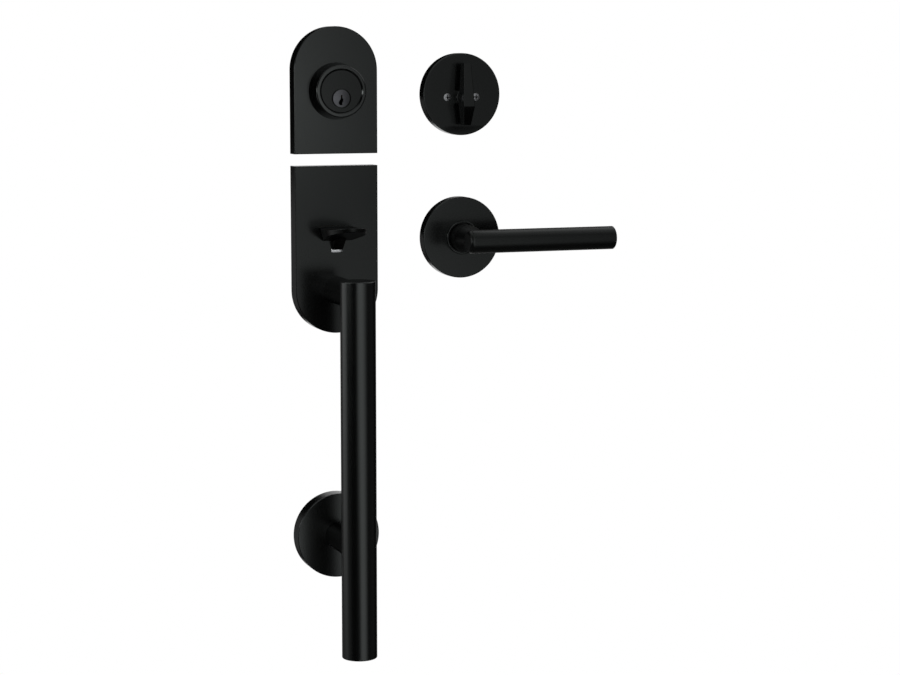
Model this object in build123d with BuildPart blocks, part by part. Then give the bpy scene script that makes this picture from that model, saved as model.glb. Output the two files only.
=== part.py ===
from build123d import *

import math
import os

# Door handleset: a keyed deadbolt and a thumb-lever pull outside, a thumbturn and a lever inside.
# Millimetres. X runs to the right, Y into the door, Z up. The origin is on the door's face, on the latch
# axis behind the handle plate. The inside trim is laid out beside the outside trim, facing the same way.
# A height, here, is a distance off the door's face towards the viewer, along -Y.

# Clearances
RUNNING_GAP = 0.05
FIXED_GAP = 0.02
PASSING_GAP = 0.3
SCREW_GAP = 0.2

# Screws
NECK_RELIEF = 0.2
PAN_TOP_SHARE = 0.7
OVAL_BREAK_RADIUS = 0.6
OVAL_BREAK_HEIGHT = 0.7

# Outside plates
PLATE_WIDTH = 70.1
PLATE_DEPTH = 13.3
PLATE_WALL = 2.5
EDGE_BREAK = 0.5
EDGE_ROUND = 0.8
HANDLE_PLATE_TOP = 61.5
HANDLE_PLATE_HEIGHT = 136.4
PLATE_SPACING = 9.7
DEADBOLT_PLATE_HEIGHT = 102.4
RIB_THICKNESS = 2.0
RIB_DEPTH = 5.0
BOSS_WALL = 2.5

# Keyed cylinder
DEADBOLT_HEIGHT = 116.0
FACE_RISE = 5.7
FACE_RADIUS = 17.0
FACE_LIP = 0.8
FACE_RECESS = 0.7
FACE_BREAK = 0.3
COLLAR_HEIGHT = 14.9
COLLAR_TAPER = 2.2
COLLAR_RIM = 2.6
COLLAR_BEVEL = 1.15
COLLAR_ROUND = 1.2
COLLAR_SHOULDER = 2.5
BARREL_REACH = 4.0
PLUG_RADIUS = 6.35
PLUG_LIP = 0.6
PLUG_LIP_DEPTH = 3.0
PLUG_CROWN = 0.6
PLUG_GROOVE = 1.1
PLUG_GROOVE_DEPTH = 2.4
PLUG_TAIL_RADIUS = 5.6
PLUG_TAIL_LENGTH = 3.0
KEYWAY_WIDTH = 1.3
KEYWAY_TOP = 2.7
KEYWAY_DEPTH = 8.0
KEYWAY_STEP = 0.7
KEYWAY_REACH = 2.0
GUIDE_WIDTH = 5.8
GUIDE_FOOT = 4.6
GUIDE_WAIST = -3.4
GUIDE_DEPTH = 1.9
PIN_RADIUS = 1.45
PIN_PITCH = 3.97
FIRST_PIN_DEPTH = 6.2
KEY_PIN_LENGTHS = (3.6, 4.5, 3.9, 4.9, 4.3)
PIN_HOLE_FLOOR = 2.6
DRIVER_PIN_LENGTH = 5.0
PIN_SPRING_LENGTH = 6.6
PIN_SPRING_WIRE = 0.35
PIN_COVER_WIDTH = 6.2
PIN_COVER_THICKNESS = 1.2
CAP_WALL = 1.2
CAP_RIM = 1.6
TAILPIECE_WIDTH = 5.4
TAILPIECE_THICKNESS = 1.6
TAILPIECE_LENGTH = 50.0
TAILPIECE_HEAD = 8.4
TAILPIECE_SWING = 45.0
TAIL_RECESS_DEPTH = 2.6
NOTCH_COUNT = 3
NOTCH_SPACING = 8.0
NOTCH_DEPTH = 0.6

# Thumb lever and its bracket
SLOT_WIDTH = 9.5
SLOT_TOP = 10.4
SLOT_BOTTOM = -8.8
SLOT_CORNER = 0.6
SLOT_RIM = 2.0
PIVOT_HEIGHT = 6.5
PIVOT_PIN_RADIUS = 2.0
HUB_RADIUS = 4.4
PAD_WIDTH = 35.0
PAD_ROOT_WIDTH = 28.0
PAD_ROOT_GAP = 1.0
PAD_LENGTH = 46.0
PAD_ROOT_BOTTOM = 0.7
PAD_ROOT_TOP = 11.6
PAD_TIP_BOTTOM = 11.2
PAD_TIP_TOP = 14.2
PAD_DISH = 0.9
PAD_CROWN = 26.0
PAD_DRAFT = 14.0
PAD_EDGE = 0.6
NECK_BELLY = 6.6
GUSSET_LENGTH = 11.0
TAIL_REACH = 24.0
TAIL_WIDTH = 6.0
TAIL_THICKNESS = 5.0
BRACKET_THICKNESS = 1.5
BRACKET_STANDOFF = 1.5
BRACKET_WIDTH = 28.0
BRACKET_TOP = 22.5
BRACKET_BOTTOM = -12.0
LIP_HEIGHT = 1.7
EAR_RADIUS = 5.0
BRACKET_SCREW_SPREAD = 10.5
BRACKET_SCREW_TOP = 18.0
BRACKET_SCREW_RADIUS = 1.25
BRACKET_SCREW_GRIP = 2.6
BRACKET_BOSS_RADIUS = 3.4
SPRING_STRIP = 0.6
SPRING_WIDTH = 5.6

# Pull handle
BAR_RADIUS = 14.25
BAR_WALL = 1.6
BAR_LENGTH = 306.0
BAR_STANDOFF = 67.5
BAR_OVERHANG = 12.8
BAR_CAP_DEPTH = 8.0
POST_RADIUS = 11.1
POST_SPACING = 203.8
POST_SCREW_RADIUS = 3.0
POST_SCREW_GRIP = 20.0
POST_SCREW_HEAD = 5.5
BASE_DISC_DEPTH = 4.0
BASE_BOSS_RADIUS = 12.0
BASE_SCREW_SPREAD = 21.0
WOOD_SCREW_RADIUS = 2.2
WOOD_SCREW_HEAD = 4.3
WOOD_SCREW_LENGTH = 32.0
WOOD_SCREW_POINT = 5.0
SET_SCREW_RADIUS = 1.5
SOCKET_RADIUS = 0.9
SOCKET_DEPTH = 1.6

# Inside trim
INSIDE_OFFSET = 109.7
ROSE_RADIUS = 33.7
ROSE_DEPTH = 9.5
ROSE_WALL = 2.0

# Thumbturn
TURN_ROSE_RISE = 2.4
TURN_SHAFT_RADIUS = 5.0
TURN_HUB_RADIUS = 7.0
TURN_HUB_HEIGHT = 6.2
TURN_BOSS_RADIUS = 8.0
TURN_BOSS_DEPTH = 3.6
TURN_UPPER = 27.8
TURN_LOWER = 22.6
TURN_RIDGE_DROP = 7.1
TURN_END_WIDTH = 6.2
TURN_RIDGE_WIDTH = 10.0
TURN_END_DEPTH = 7.4
TURN_RIDGE_DEPTH = 11.9
TURN_EDGE = 0.5
TURN_SLOT_DEPTH = 9.0
CLIP_THICKNESS = 0.9
CLIP_GROOVE = 0.8
CLIP_RIM = 2.4
WASHER_THICKNESS = 0.7
WASHER_RIM = 2.8
DEADBOLT_BOLT_SPREAD = 12.5
DEADBOLT_BOLT_RADIUS = 1.95
DEADBOLT_BOLT_HEAD = 3.2
DEADBOLT_BOLT_DOME = 0.6
DEADBOLT_TAP_RADIUS = 1.65
DEADBOLT_TAP_DEPTH = 14.0
DEADBOLT_BOLT_REACH = 45.0
CROSS_LENGTH = 3.8
CROSS_WIDTH = 1.0
CROSS_DEPTH = 1.8
CROSS_TIP = 0.6

# Lever
LEVER_RADIUS = 9.55
LEVER_LENGTH = 129.1
LEVER_HEEL = 11.8
LEVER_STANDOFF = 54.1
LEVER_HEEL_ROUND = 3.4
LEVER_TIP_BREAK = 0.6
LEVER_SWING = 50.0
NECK_RADIUS = 11.6
NECK_STRAIGHT = 24.0
NECK_END_RADIUS = 9.0
SHANK_RADIUS = 8.0
SHANK_REACH = 2.6
RING_RADIUS = 14.0
RING_HEIGHT = 3.0
BUSHING_WALL = 0.8
BUSHING_FLANGE = 2.4
BUSHING_FLANGE_DEPTH = 0.6
CHASSIS_THICKNESS = 2.5
CAM_THICKNESS = 2.8
CAM_WALL = 2.0
FINGER_WIDTH = 4.0
FINGER_REACH = 4.5
STOP_WIDTH = 4.0
STOP_GAP = 0.15
RETURN_SPRING_RADIUS = 24.6
RETURN_SPRING_WIRE = 1.8
SPINDLE_SIDE = 7.6
SPINDLE_GRIP = 22.0
SPINDLE_REACH = 50.0
LEVER_SET_SCREW_RADIUS = 2.0
LEVER_SET_SCREW_HEIGHT = 19.0
HANDLE_BOLT_SPREAD = 19.05
HANDLE_BOLT_RADIUS = 2.4
HANDLE_BOLT_HEAD = 4.4
HANDLE_BOLT_HEAD_HEIGHT = 2.6
HANDLE_TAP_RADIUS = 2.1
BOLT_POST_RADIUS = 4.2
BOLT_POST_REACH = 25.0
HANDLE_BOLT_REACH = 28.0

# Places worked out from the sizes
PLATE_INSIDE = PLATE_DEPTH - PLATE_WALL
ROSE_INSIDE = ROSE_DEPTH - ROSE_WALL
HANDLE_PLATE_BOTTOM = HANDLE_PLATE_TOP - HANDLE_PLATE_HEIGHT
DEADBOLT_PLATE_BOTTOM = HANDLE_PLATE_TOP + PLATE_SPACING
DEADBOLT_PLATE_TOP = DEADBOLT_PLATE_BOTTOM + DEADBOLT_PLATE_HEIGHT
FACE_CENTRE = DEADBOLT_HEIGHT + FACE_RISE
UPPER_POST = HANDLE_PLATE_BOTTOM + PLATE_WIDTH / 2
LOWER_POST = UPPER_POST - POST_SPACING
BAR_TOP = UPPER_POST + BAR_OVERHANG
BAR_BOTTOM = BAR_TOP - BAR_LENGTH
TURN_ROSE_CENTRE = DEADBOLT_HEIGHT + TURN_ROSE_RISE


def face_plane(x, z, height=0.0):
    """Plane along the door's face, with its normal towards the viewer"""
    return Plane(origin=(x, -height, z), x_dir=(1, 0, 0), z_dir=(0, -1, 0))


def side_plane(x):
    """Upright plane across the door, with the height off the door as its x and Z as its y"""
    return Plane(origin=(x, 0, 0), x_dir=(0, -1, 0), z_dir=(-1, 0, 0))


def turned(x, z, section):
    """Piece turned about a line through the door, from a closed half section of (radius, height) points"""
    with BuildPart() as piece:
        with BuildSketch(Plane(origin=(x, 0, z), x_dir=(1, 0, 0), z_dir=(0, 0, -1))):
            with BuildLine():
                Polyline(*section, close=True)
            make_face()
        revolve(axis=Axis((x, 0, z), (0, -1, 0)))
    return piece.part


def ring(x, z, inner, outer, low, high):
    """Plain turned ring between two radii and two heights"""
    return turned(x, z, [(inner, low), (outer, low), (outer, high), (inner, high)])


def arch_outline(flat_end, round_end, width):
    """Plate outline with one straight end and one half-round end"""
    centre = round_end - math.copysign(width / 2, round_end - flat_end)
    with BuildSketch() as outline:
        with Locations((0, (flat_end + centre) / 2)):
            Rectangle(width, abs(centre - flat_end))
        with Locations((0, centre)):
            Circle(width / 2)
    return outline.sketch


def arch_shell(flat_end, round_end):
    """Outside plate: a shallow cast shell, open at the back, with a lightly rounded front edge"""
    inset = math.copysign(PLATE_WALL, round_end - flat_end)
    with BuildPart() as shell:
        with BuildSketch(face_plane(0, 0)):
            add(arch_outline(flat_end, round_end, PLATE_WIDTH))
        extrude(amount=PLATE_DEPTH)
        fillet(shell.faces().sort_by(Axis.Y)[0].edges(), EDGE_ROUND)
        with BuildSketch(face_plane(0, 0)):
            add(arch_outline(flat_end + inset, round_end - inset, PLATE_WIDTH - 2 * PLATE_WALL))
        extrude(amount=PLATE_INSIDE, mode=Mode.SUBTRACT)
    return shell.part


def round_shell(x, z, radius, depth, wall):
    """Round cover: a shallow turned shell, open at the back"""
    section = [
        (0, depth),
        (radius, depth),
        (radius, 0),
        (radius - wall, 0),
        (radius - wall, depth - wall),
        (0, depth - wall),
    ]
    with BuildPart() as shell:
        add(turned(x, z, section))
        fillet(shell.faces().sort_by(Axis.Y)[0].edges(), EDGE_ROUND)
    return shell.part


def pan_screw(x, z, seat, head_radius, head_height, shank_radius, neck, length, way):
    """Screw whose domed head sits at a seat, with a plain neck and then its thread, towards the viewer
    (way 1) or the door (-1)"""
    section = [
        (0, seat + way * length),
        (shank_radius, seat + way * length),
        (shank_radius, seat + way * neck),
        (shank_radius - NECK_RELIEF, seat + way * neck),
        (shank_radius - NECK_RELIEF, seat),
        (head_radius, seat),
        (head_radius, seat - way * head_height / 2),
        (PAN_TOP_SHARE * head_radius, seat - way * head_height),
        (0, seat - way * head_height),
    ]
    return turned(x, z, section)


def flat_screw(x, z, face, head_radius, shank_radius, neck, length, point, way):
    """Countersunk screw whose head ends flush with a face, with a plain neck, its thread and then a point"""
    neck_radius = shank_radius - NECK_RELIEF
    section = [
        (0, face),
        (head_radius, face),
        (neck_radius, face + way * (head_radius - neck_radius)),
        (neck_radius, face + way * neck),
        (shank_radius, face + way * neck),
        (shank_radius, face + way * (length - point)),
        (0, face + way * length),
    ]
    return turned(x, z, section)


def open_ring(x, z, inner, outer, low, thickness):
    """Spring clip: a flat ring with a gap that lets it snap into a groove"""
    with BuildPart() as clip:
        with BuildSketch(face_plane(x, z, low)):
            Circle(outer)
            Circle(inner, mode=Mode.SUBTRACT)
            with Locations((0, -outer)):
                Rectangle(inner, 2 * outer, mode=Mode.SUBTRACT)
        extrude(amount=thickness)
    return clip.part


# Deadbolt, outside: plate and collar
barrel_radius = FACE_RADIUS - FACE_LIP
barrel_hole = barrel_radius + PASSING_GAP
collar_bore = FACE_RADIUS + RUNNING_GAP
collar_rim_radius = collar_bore + COLLAR_BEVEL
collar_front_radius = collar_rim_radius + COLLAR_RIM
collar_front = PLATE_DEPTH + COLLAR_HEIGHT
head_seat = PLATE_DEPTH + COLLAR_SHOULDER
face_height = collar_front - FACE_RECESS

with BuildPart() as deadbolt_plate:
    add(arch_shell(DEADBOLT_PLATE_BOTTOM, DEADBOLT_PLATE_TOP))
    with BuildSketch(face_plane(0, FACE_CENTRE)):
        Circle(barrel_hole + BOSS_WALL)
    extrude(amount=PLATE_INSIDE)
    with BuildSketch(face_plane(0, 0, PLATE_INSIDE - RIB_DEPTH)):
        with Locations((0, (DEADBOLT_PLATE_BOTTOM + DEADBOLT_PLATE_TOP) / 2)):
            Rectangle(RIB_THICKNESS, DEADBOLT_PLATE_HEIGHT - PLATE_WALL)
        with Locations((0, FACE_CENTRE)):
            Rectangle(PLATE_WIDTH - PLATE_WALL, RIB_THICKNESS)
    extrude(amount=RIB_DEPTH)
    with BuildSketch(face_plane(0, FACE_CENTRE)):
        Circle(barrel_hole)
    extrude(amount=PLATE_DEPTH, mode=Mode.SUBTRACT)

with BuildPart() as cylinder_collar:
    add(
        turned(
            0,
            FACE_CENTRE,
            [
                (barrel_hole, PLATE_DEPTH),
                (collar_front_radius + COLLAR_TAPER, PLATE_DEPTH),
                (collar_front_radius, collar_front),
                (collar_rim_radius, collar_front),
                (collar_bore, collar_front - COLLAR_BEVEL),
                (collar_bore, head_seat),
                (barrel_hole, head_seat),
            ],
        )
    )
    front_edges = cylinder_collar.faces().sort_by(Axis.Y)[0].edges().sort_by(SortBy.LENGTH)
    fillet(front_edges[-1], COLLAR_ROUND)

# Deadbolt, outside: cylinder, plug and pins
pin_depths = [FIRST_PIN_DEPTH + PIN_PITCH * i for i in range(len(KEY_PIN_LENGTHS))]
pin_heights = [face_height - depth for depth in pin_depths]
chamber_radius = PIN_RADIUS + RUNNING_GAP
shear_line = PLUG_RADIUS + RUNNING_GAP
driver_foot = shear_line + RUNNING_GAP
spring_foot = driver_foot + DRIVER_PIN_LENGTH
cover_seat = spring_foot + PIN_SPRING_LENGTH
cover_length = BARREL_REACH + pin_heights[0] + 2 * PIN_RADIUS

with BuildPart() as lock_cylinder:
    add(
        turned(
            0,
            FACE_CENTRE,
            [
                (0, -BARREL_REACH),
                (barrel_radius, -BARREL_REACH),
                (barrel_radius, head_seat),
                (FACE_RADIUS, head_seat),
                (FACE_RADIUS, face_height - FACE_BREAK),
                (FACE_RADIUS - FACE_BREAK, face_height),
                (0, face_height),
            ],
        )
    )
    with BuildSketch(face_plane(0, DEADBOLT_HEIGHT, -BARREL_REACH)):
        Circle(shear_line)
    extrude(amount=BARREL_REACH + face_height, mode=Mode.SUBTRACT)
    with BuildSketch(face_plane(0, DEADBOLT_HEIGHT, face_height - PLUG_LIP_DEPTH)):
        Circle(PLUG_RADIUS + PLUG_LIP + RUNNING_GAP)
    extrude(amount=PLUG_LIP_DEPTH, mode=Mode.SUBTRACT)
    with BuildSketch(face_plane(0, DEADBOLT_HEIGHT, face_height - PLUG_GROOVE_DEPTH)):
        Circle(PLUG_RADIUS + PLUG_LIP + PLUG_GROOVE)
    extrude(amount=PLUG_GROOVE_DEPTH, mode=Mode.SUBTRACT)
    with BuildSketch(Plane.XY.offset(DEADBOLT_HEIGHT)):
        with Locations(*[(0, -height) for height in pin_heights]):
            Circle(chamber_radius)
    extrude(amount=cover_seat, mode=Mode.SUBTRACT)
    with BuildSketch(face_plane(0, DEADBOLT_HEIGHT + cover_seat, -BARREL_REACH)):
        with Locations((0, barrel_radius / 2)):
            Rectangle(PIN_COVER_WIDTH + 2 * FIXED_GAP, barrel_radius)
    extrude(amount=cover_length, mode=Mode.SUBTRACT)
    with BuildSketch(face_plane(0, DEADBOLT_HEIGHT, -BARREL_REACH)):
        with Locations((-DEADBOLT_BOLT_SPREAD, 0), (DEADBOLT_BOLT_SPREAD, 0)):
            Circle(DEADBOLT_TAP_RADIUS)
    extrude(amount=DEADBOLT_TAP_DEPTH, mode=Mode.SUBTRACT)

plug_end = -BARREL_REACH - PLUG_TAIL_LENGTH
plug_front = face_height + PLUG_CROWN
dome_radius = ((PLUG_RADIUS + PLUG_LIP) ** 2 + PLUG_CROWN**2) / (2 * PLUG_CROWN)
recess_radius = TAILPIECE_HEAD / 2 + PASSING_GAP
# The stops in the tail's recess are wedges whose sides meet the turned blade's flat sides.
stop_apex = (TAILPIECE_THICKNESS / 2 + RUNNING_GAP) / math.cos(math.radians(TAILPIECE_SWING))
stop_half_height = (recess_radius - stop_apex) / math.tan(math.radians(TAILPIECE_SWING))

with BuildPart() as key_plug:
    add(
        turned(
            0,
            DEADBOLT_HEIGHT,
            [
                (0, plug_end),
                (PLUG_TAIL_RADIUS, plug_end),
                (PLUG_TAIL_RADIUS, -BARREL_REACH),
                (PLUG_RADIUS, -BARREL_REACH),
                (PLUG_RADIUS, face_height - PLUG_LIP_DEPTH),
                (PLUG_RADIUS + PLUG_LIP, face_height - PLUG_LIP_DEPTH),
                (PLUG_RADIUS + PLUG_LIP, plug_front),
                (0, plug_front),
            ],
        )
    )
    with Locations((0, dome_radius - plug_front, DEADBOLT_HEIGHT)):
        Sphere(dome_radius, mode=Mode.INTERSECT)
    ward_height = KEYWAY_DEPTH / 3
    with BuildSketch(face_plane(0, DEADBOLT_HEIGHT + KEYWAY_TOP, KEYWAY_REACH - BARREL_REACH)):
        with Locations((0, -KEYWAY_DEPTH / 2)):
            Rectangle(KEYWAY_WIDTH, KEYWAY_DEPTH)
        with Locations((KEYWAY_STEP, -KEYWAY_DEPTH / 2), (-KEYWAY_STEP, ward_height / 2 - KEYWAY_DEPTH)):
            Rectangle(KEYWAY_WIDTH, ward_height)
    extrude(amount=plug_front + BARREL_REACH - KEYWAY_REACH, mode=Mode.SUBTRACT)
    guide_sections = [
        (plug_front, GUIDE_WIDTH / 2, GUIDE_FOOT / 2),
        (plug_front - GUIDE_DEPTH, KEYWAY_WIDTH / 2, KEYWAY_WIDTH / 2),
    ]
    for height, waist, foot in guide_sections:
        with BuildSketch(face_plane(0, DEADBOLT_HEIGHT, height)):
            with BuildLine():
                Polyline(
                    (-KEYWAY_WIDTH / 2, 0),
                    (-waist, GUIDE_WAIST),
                    (-foot, KEYWAY_TOP - KEYWAY_DEPTH),
                    (foot, KEYWAY_TOP - KEYWAY_DEPTH),
                    (waist, GUIDE_WAIST),
                    (KEYWAY_WIDTH / 2, 0),
                    close=True,
                )
            make_face()
    loft(ruled=True, mode=Mode.SUBTRACT)
    with BuildSketch(Plane.XY.offset(DEADBOLT_HEIGHT - PIN_HOLE_FLOOR)):
        with Locations(*[(0, -height) for height in pin_heights]):
            Circle(chamber_radius)
    extrude(amount=PIN_HOLE_FLOOR + PLUG_RADIUS, mode=Mode.SUBTRACT)
    with BuildSketch(face_plane(0, DEADBOLT_HEIGHT, plug_end)):
        Circle(recess_radius)
        for side in (-1, 1):
            with BuildLine():
                Polyline(
                    (side * stop_apex, 0),
                    (side * recess_radius, stop_half_height),
                    (side * recess_radius, -stop_half_height),
                    close=True,
                )
            make_face(mode=Mode.SUBTRACT)
    extrude(amount=TAIL_RECESS_DEPTH, mode=Mode.SUBTRACT)

key_pin_top = PLUG_RADIUS - RUNNING_GAP - PIN_RADIUS**2 / PLUG_RADIUS
with BuildPart() as key_pins:
    for height, length in zip(pin_heights, KEY_PIN_LENGTHS):
        with BuildSketch(Plane.XY.offset(DEADBOLT_HEIGHT + key_pin_top - length)):
            with Locations((0, -height)):
                Circle(PIN_RADIUS)
        extrude(amount=length)

with BuildPart() as driver_pins:
    with BuildSketch(Plane.XY.offset(DEADBOLT_HEIGHT + driver_foot)):
        with Locations(*[(0, -height) for height in pin_heights]):
            Circle(PIN_RADIUS)
    extrude(amount=DRIVER_PIN_LENGTH)

with BuildPart() as pin_springs:
    with BuildSketch(Plane.XY.offset(DEADBOLT_HEIGHT + spring_foot)):
        with Locations(*[(0, -height) for height in pin_heights]):
            Circle(PIN_RADIUS)
            Circle(PIN_RADIUS - PIN_SPRING_WIRE, mode=Mode.SUBTRACT)
    extrude(amount=PIN_SPRING_LENGTH)

with BuildPart() as pin_cover:
    with BuildSketch(face_plane(0, DEADBOLT_HEIGHT + cover_seat, -BARREL_REACH)):
        with Locations((0, PIN_COVER_THICKNESS / 2)):
            Rectangle(PIN_COVER_WIDTH, PIN_COVER_THICKNESS)
    extrude(amount=cover_length)

with BuildPart() as plug_cap:
    add(
        turned(
            0,
            DEADBOLT_HEIGHT,
            [
                (PLUG_TAIL_RADIUS + FIXED_GAP, -BARREL_REACH - RUNNING_GAP),
                (PLUG_TAIL_RADIUS + CAP_RIM, -BARREL_REACH - RUNNING_GAP),
                (PLUG_TAIL_RADIUS + CAP_RIM, plug_end - CAP_WALL),
                (TAILPIECE_WIDTH / 2 + PASSING_GAP, plug_end - CAP_WALL),
                (TAILPIECE_WIDTH / 2 + PASSING_GAP, plug_end),
                (PLUG_TAIL_RADIUS + FIXED_GAP, plug_end),
            ],
        )
    )

head_low = plug_end + RUNNING_GAP
head_high = plug_end + TAIL_RECESS_DEPTH - RUNNING_GAP
blade_end = plug_end - TAILPIECE_LENGTH
with BuildPart() as cylinder_tailpiece:
    with BuildSketch(side_plane(0)):
        with Locations(((head_low + head_high) / 2, DEADBOLT_HEIGHT)):
            Rectangle(head_high - head_low, TAILPIECE_HEAD)
        with Locations(((head_high + blade_end) / 2, DEADBOLT_HEIGHT)):
            Rectangle(head_high - blade_end, TAILPIECE_WIDTH)
        for count in range(NOTCH_COUNT):
            notch = blade_end + (count + 1) * NOTCH_SPACING
            for edge in (-1, 1):
                with Locations((notch, DEADBOLT_HEIGHT + edge * TAILPIECE_WIDTH / 2)):
                    Rectangle(NOTCH_DEPTH, 2 * NOTCH_DEPTH, mode=Mode.SUBTRACT)
    extrude(amount=TAILPIECE_THICKNESS / 2, both=True)

# Handle, outside: plate
bracket_seat = PLATE_INSIDE - BRACKET_STANDOFF
bracket_back = bracket_seat - BRACKET_THICKNESS
side_screws = [(-BRACKET_SCREW_SPREAD, 0), (BRACKET_SCREW_SPREAD, 0)]
top_screw = (0, BRACKET_SCREW_TOP)
bolt_places = [(-HANDLE_BOLT_SPREAD, 0), (HANDLE_BOLT_SPREAD, 0)]

with BuildPart() as handle_plate:
    add(arch_shell(HANDLE_PLATE_TOP, HANDLE_PLATE_BOTTOM))
    with BuildSketch(face_plane(0, 0, -BOLT_POST_REACH)):
        with Locations(*bolt_places):
            Circle(BOLT_POST_RADIUS)
    extrude(amount=BOLT_POST_REACH + PLATE_INSIDE)
    with BuildSketch(face_plane(0, 0, bracket_seat)):
        with Locations(*side_screws, top_screw):
            Circle(BRACKET_BOSS_RADIUS)
    extrude(amount=BRACKET_STANDOFF)
    with BuildSketch(face_plane(0, (SLOT_TOP + SLOT_BOTTOM) / 2, bracket_seat + FIXED_GAP)):
        RectangleRounded(SLOT_WIDTH + 2 * SLOT_RIM, SLOT_TOP - SLOT_BOTTOM + 2 * SLOT_RIM, SLOT_CORNER)
    extrude(amount=BRACKET_STANDOFF - FIXED_GAP)
    with BuildSketch(face_plane(0, 0, -BOLT_POST_REACH)):
        with Locations(*bolt_places):
            Circle(HANDLE_TAP_RADIUS)
    extrude(amount=BOLT_POST_REACH, mode=Mode.SUBTRACT)
    with BuildSketch(face_plane(0, 0, bracket_seat)):
        with Locations(*side_screws, top_screw):
            Circle(BRACKET_SCREW_RADIUS + FIXED_GAP)
    extrude(amount=BRACKET_SCREW_GRIP + FIXED_GAP, mode=Mode.SUBTRACT)
    with BuildSketch(face_plane(0, (SLOT_TOP + SLOT_BOTTOM) / 2)):
        RectangleRounded(SLOT_WIDTH, SLOT_TOP - SLOT_BOTTOM, SLOT_CORNER)
    extrude(amount=PLATE_DEPTH, mode=Mode.SUBTRACT)
    with BuildSketch(face_plane(0, UPPER_POST)):
        Circle(POST_SCREW_RADIUS + SCREW_GAP)
    extrude(amount=PLATE_DEPTH, mode=Mode.SUBTRACT)

# Handle, outside: thumb lever
neck_half_width = SLOT_WIDTH / 2 - PASSING_GAP
ear_inside = SLOT_WIDTH / 2
pad_root = PLATE_DEPTH + PAD_ROOT_GAP
pad_tip = pad_root + PAD_LENGTH
neck_root = pad_root + PAD_EDGE + PASSING_GAP
pad_slope = (PAD_TIP_BOTTOM - PAD_ROOT_BOTTOM) / PAD_LENGTH
gusset_end = PAD_ROOT_BOTTOM + pad_slope * GUSSET_LENGTH + PAD_EDGE

with BuildPart() as thumb_lever:
    with BuildSketch(side_plane(0)):
        with BuildLine():
            Polyline(
                (pad_root, PAD_ROOT_TOP),
                (pad_root, PAD_ROOT_BOTTOM),
                (pad_tip, PAD_TIP_BOTTOM),
                (pad_tip, PAD_TIP_TOP),
            )
            ThreePointArc(
                (pad_tip, PAD_TIP_TOP),
                ((pad_root + pad_tip) / 2, (PAD_ROOT_TOP + PAD_TIP_TOP) / 2 - PAD_DISH),
                (pad_root, PAD_ROOT_TOP),
            )
        make_face()
    extrude(amount=PAD_WIDTH / 2, both=True)
    with BuildSketch(Plane.XY.offset(PAD_TIP_TOP)):
        with BuildLine():
            Polyline(
                (-PAD_WIDTH / 2, PAD_CROWN - pad_tip),
                (-PAD_ROOT_WIDTH / 2, 0),
                (PAD_ROOT_WIDTH / 2, 0),
                (PAD_WIDTH / 2, PAD_CROWN - pad_tip),
            )
            EllipticalCenterArc((0, PAD_CROWN - pad_tip), PAD_WIDTH / 2, PAD_CROWN, 180, arc_size=180)
        make_face()
    extrude(amount=-2 * PAD_TIP_TOP, taper=PAD_DRAFT, mode=Mode.INTERSECT)
    fillet(thumb_lever.edges(), PAD_EDGE)
    with BuildSketch(side_plane(0)):
        with Locations((PIVOT_HEIGHT, 0)):
            Circle(HUB_RADIUS)
        with BuildLine():
            Polyline(
                (PIVOT_HEIGHT, -HUB_RADIUS),
                (pad_root, -NECK_BELLY),
                (pad_root + GUSSET_LENGTH, gusset_end),
                (neck_root, PAD_ROOT_TOP - PAD_EDGE),
                (PIVOT_HEIGHT, HUB_RADIUS),
                close=True,
            )
        make_face()
    extrude(amount=neck_half_width, both=True)
    with BuildSketch(side_plane(0)):
        with Locations(((PIVOT_HEIGHT - TAIL_REACH) / 2, 0)):
            Rectangle(PIVOT_HEIGHT + TAIL_REACH, TAIL_THICKNESS)
    extrude(amount=TAIL_WIDTH / 2, both=True)
    with BuildSketch(side_plane(0)):
        with Locations((PIVOT_HEIGHT, 0)):
            Circle(PIVOT_PIN_RADIUS + RUNNING_GAP)
    extrude(amount=SLOT_WIDTH, both=True, mode=Mode.SUBTRACT)

with BuildPart() as pivot_bracket:
    with BuildSketch(face_plane(0, 0, bracket_back)):
        with Locations((0, (BRACKET_TOP + BRACKET_BOTTOM) / 2)):
            Rectangle(BRACKET_WIDTH, BRACKET_TOP - BRACKET_BOTTOM)
    extrude(amount=BRACKET_THICKNESS)
    with BuildSketch(side_plane(0)):
        with Locations((PIVOT_HEIGHT, 0)):
            Circle(EAR_RADIUS)
        with Locations(((PIVOT_HEIGHT + bracket_seat) / 2, 0)):
            Rectangle(bracket_seat - PIVOT_HEIGHT, 2 * EAR_RADIUS)
    extrude(amount=ear_inside + BRACKET_THICKNESS, both=True)
    with BuildSketch(face_plane(0, 0, bracket_seat)):
        Rectangle(BRACKET_WIDTH, 2 * EAR_RADIUS)
    extrude(amount=EAR_RADIUS, mode=Mode.SUBTRACT)
    window_bottom = SLOT_BOTTOM + LIP_HEIGHT
    with BuildSketch(face_plane(0, (SLOT_TOP + window_bottom) / 2)):
        Rectangle(2 * ear_inside, SLOT_TOP - window_bottom)
    extrude(amount=PLATE_DEPTH, mode=Mode.SUBTRACT)
    with BuildSketch(side_plane(0)):
        with Locations((PIVOT_HEIGHT, 0)):
            Circle(PIVOT_PIN_RADIUS + FIXED_GAP)
    extrude(amount=SLOT_WIDTH, both=True, mode=Mode.SUBTRACT)
    with BuildSketch(face_plane(0, 0, bracket_back)):
        with Locations(*side_screws, top_screw):
            Circle(BRACKET_SCREW_RADIUS + SCREW_GAP)
    extrude(amount=BRACKET_THICKNESS, mode=Mode.SUBTRACT)

with BuildPart() as thumb_pivot_pin:
    with BuildSketch(side_plane(0)):
        with Locations((PIVOT_HEIGHT, 0)):
            Circle(PIVOT_PIN_RADIUS)
    extrude(amount=ear_inside + BRACKET_THICKNESS, both=True)

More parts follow.
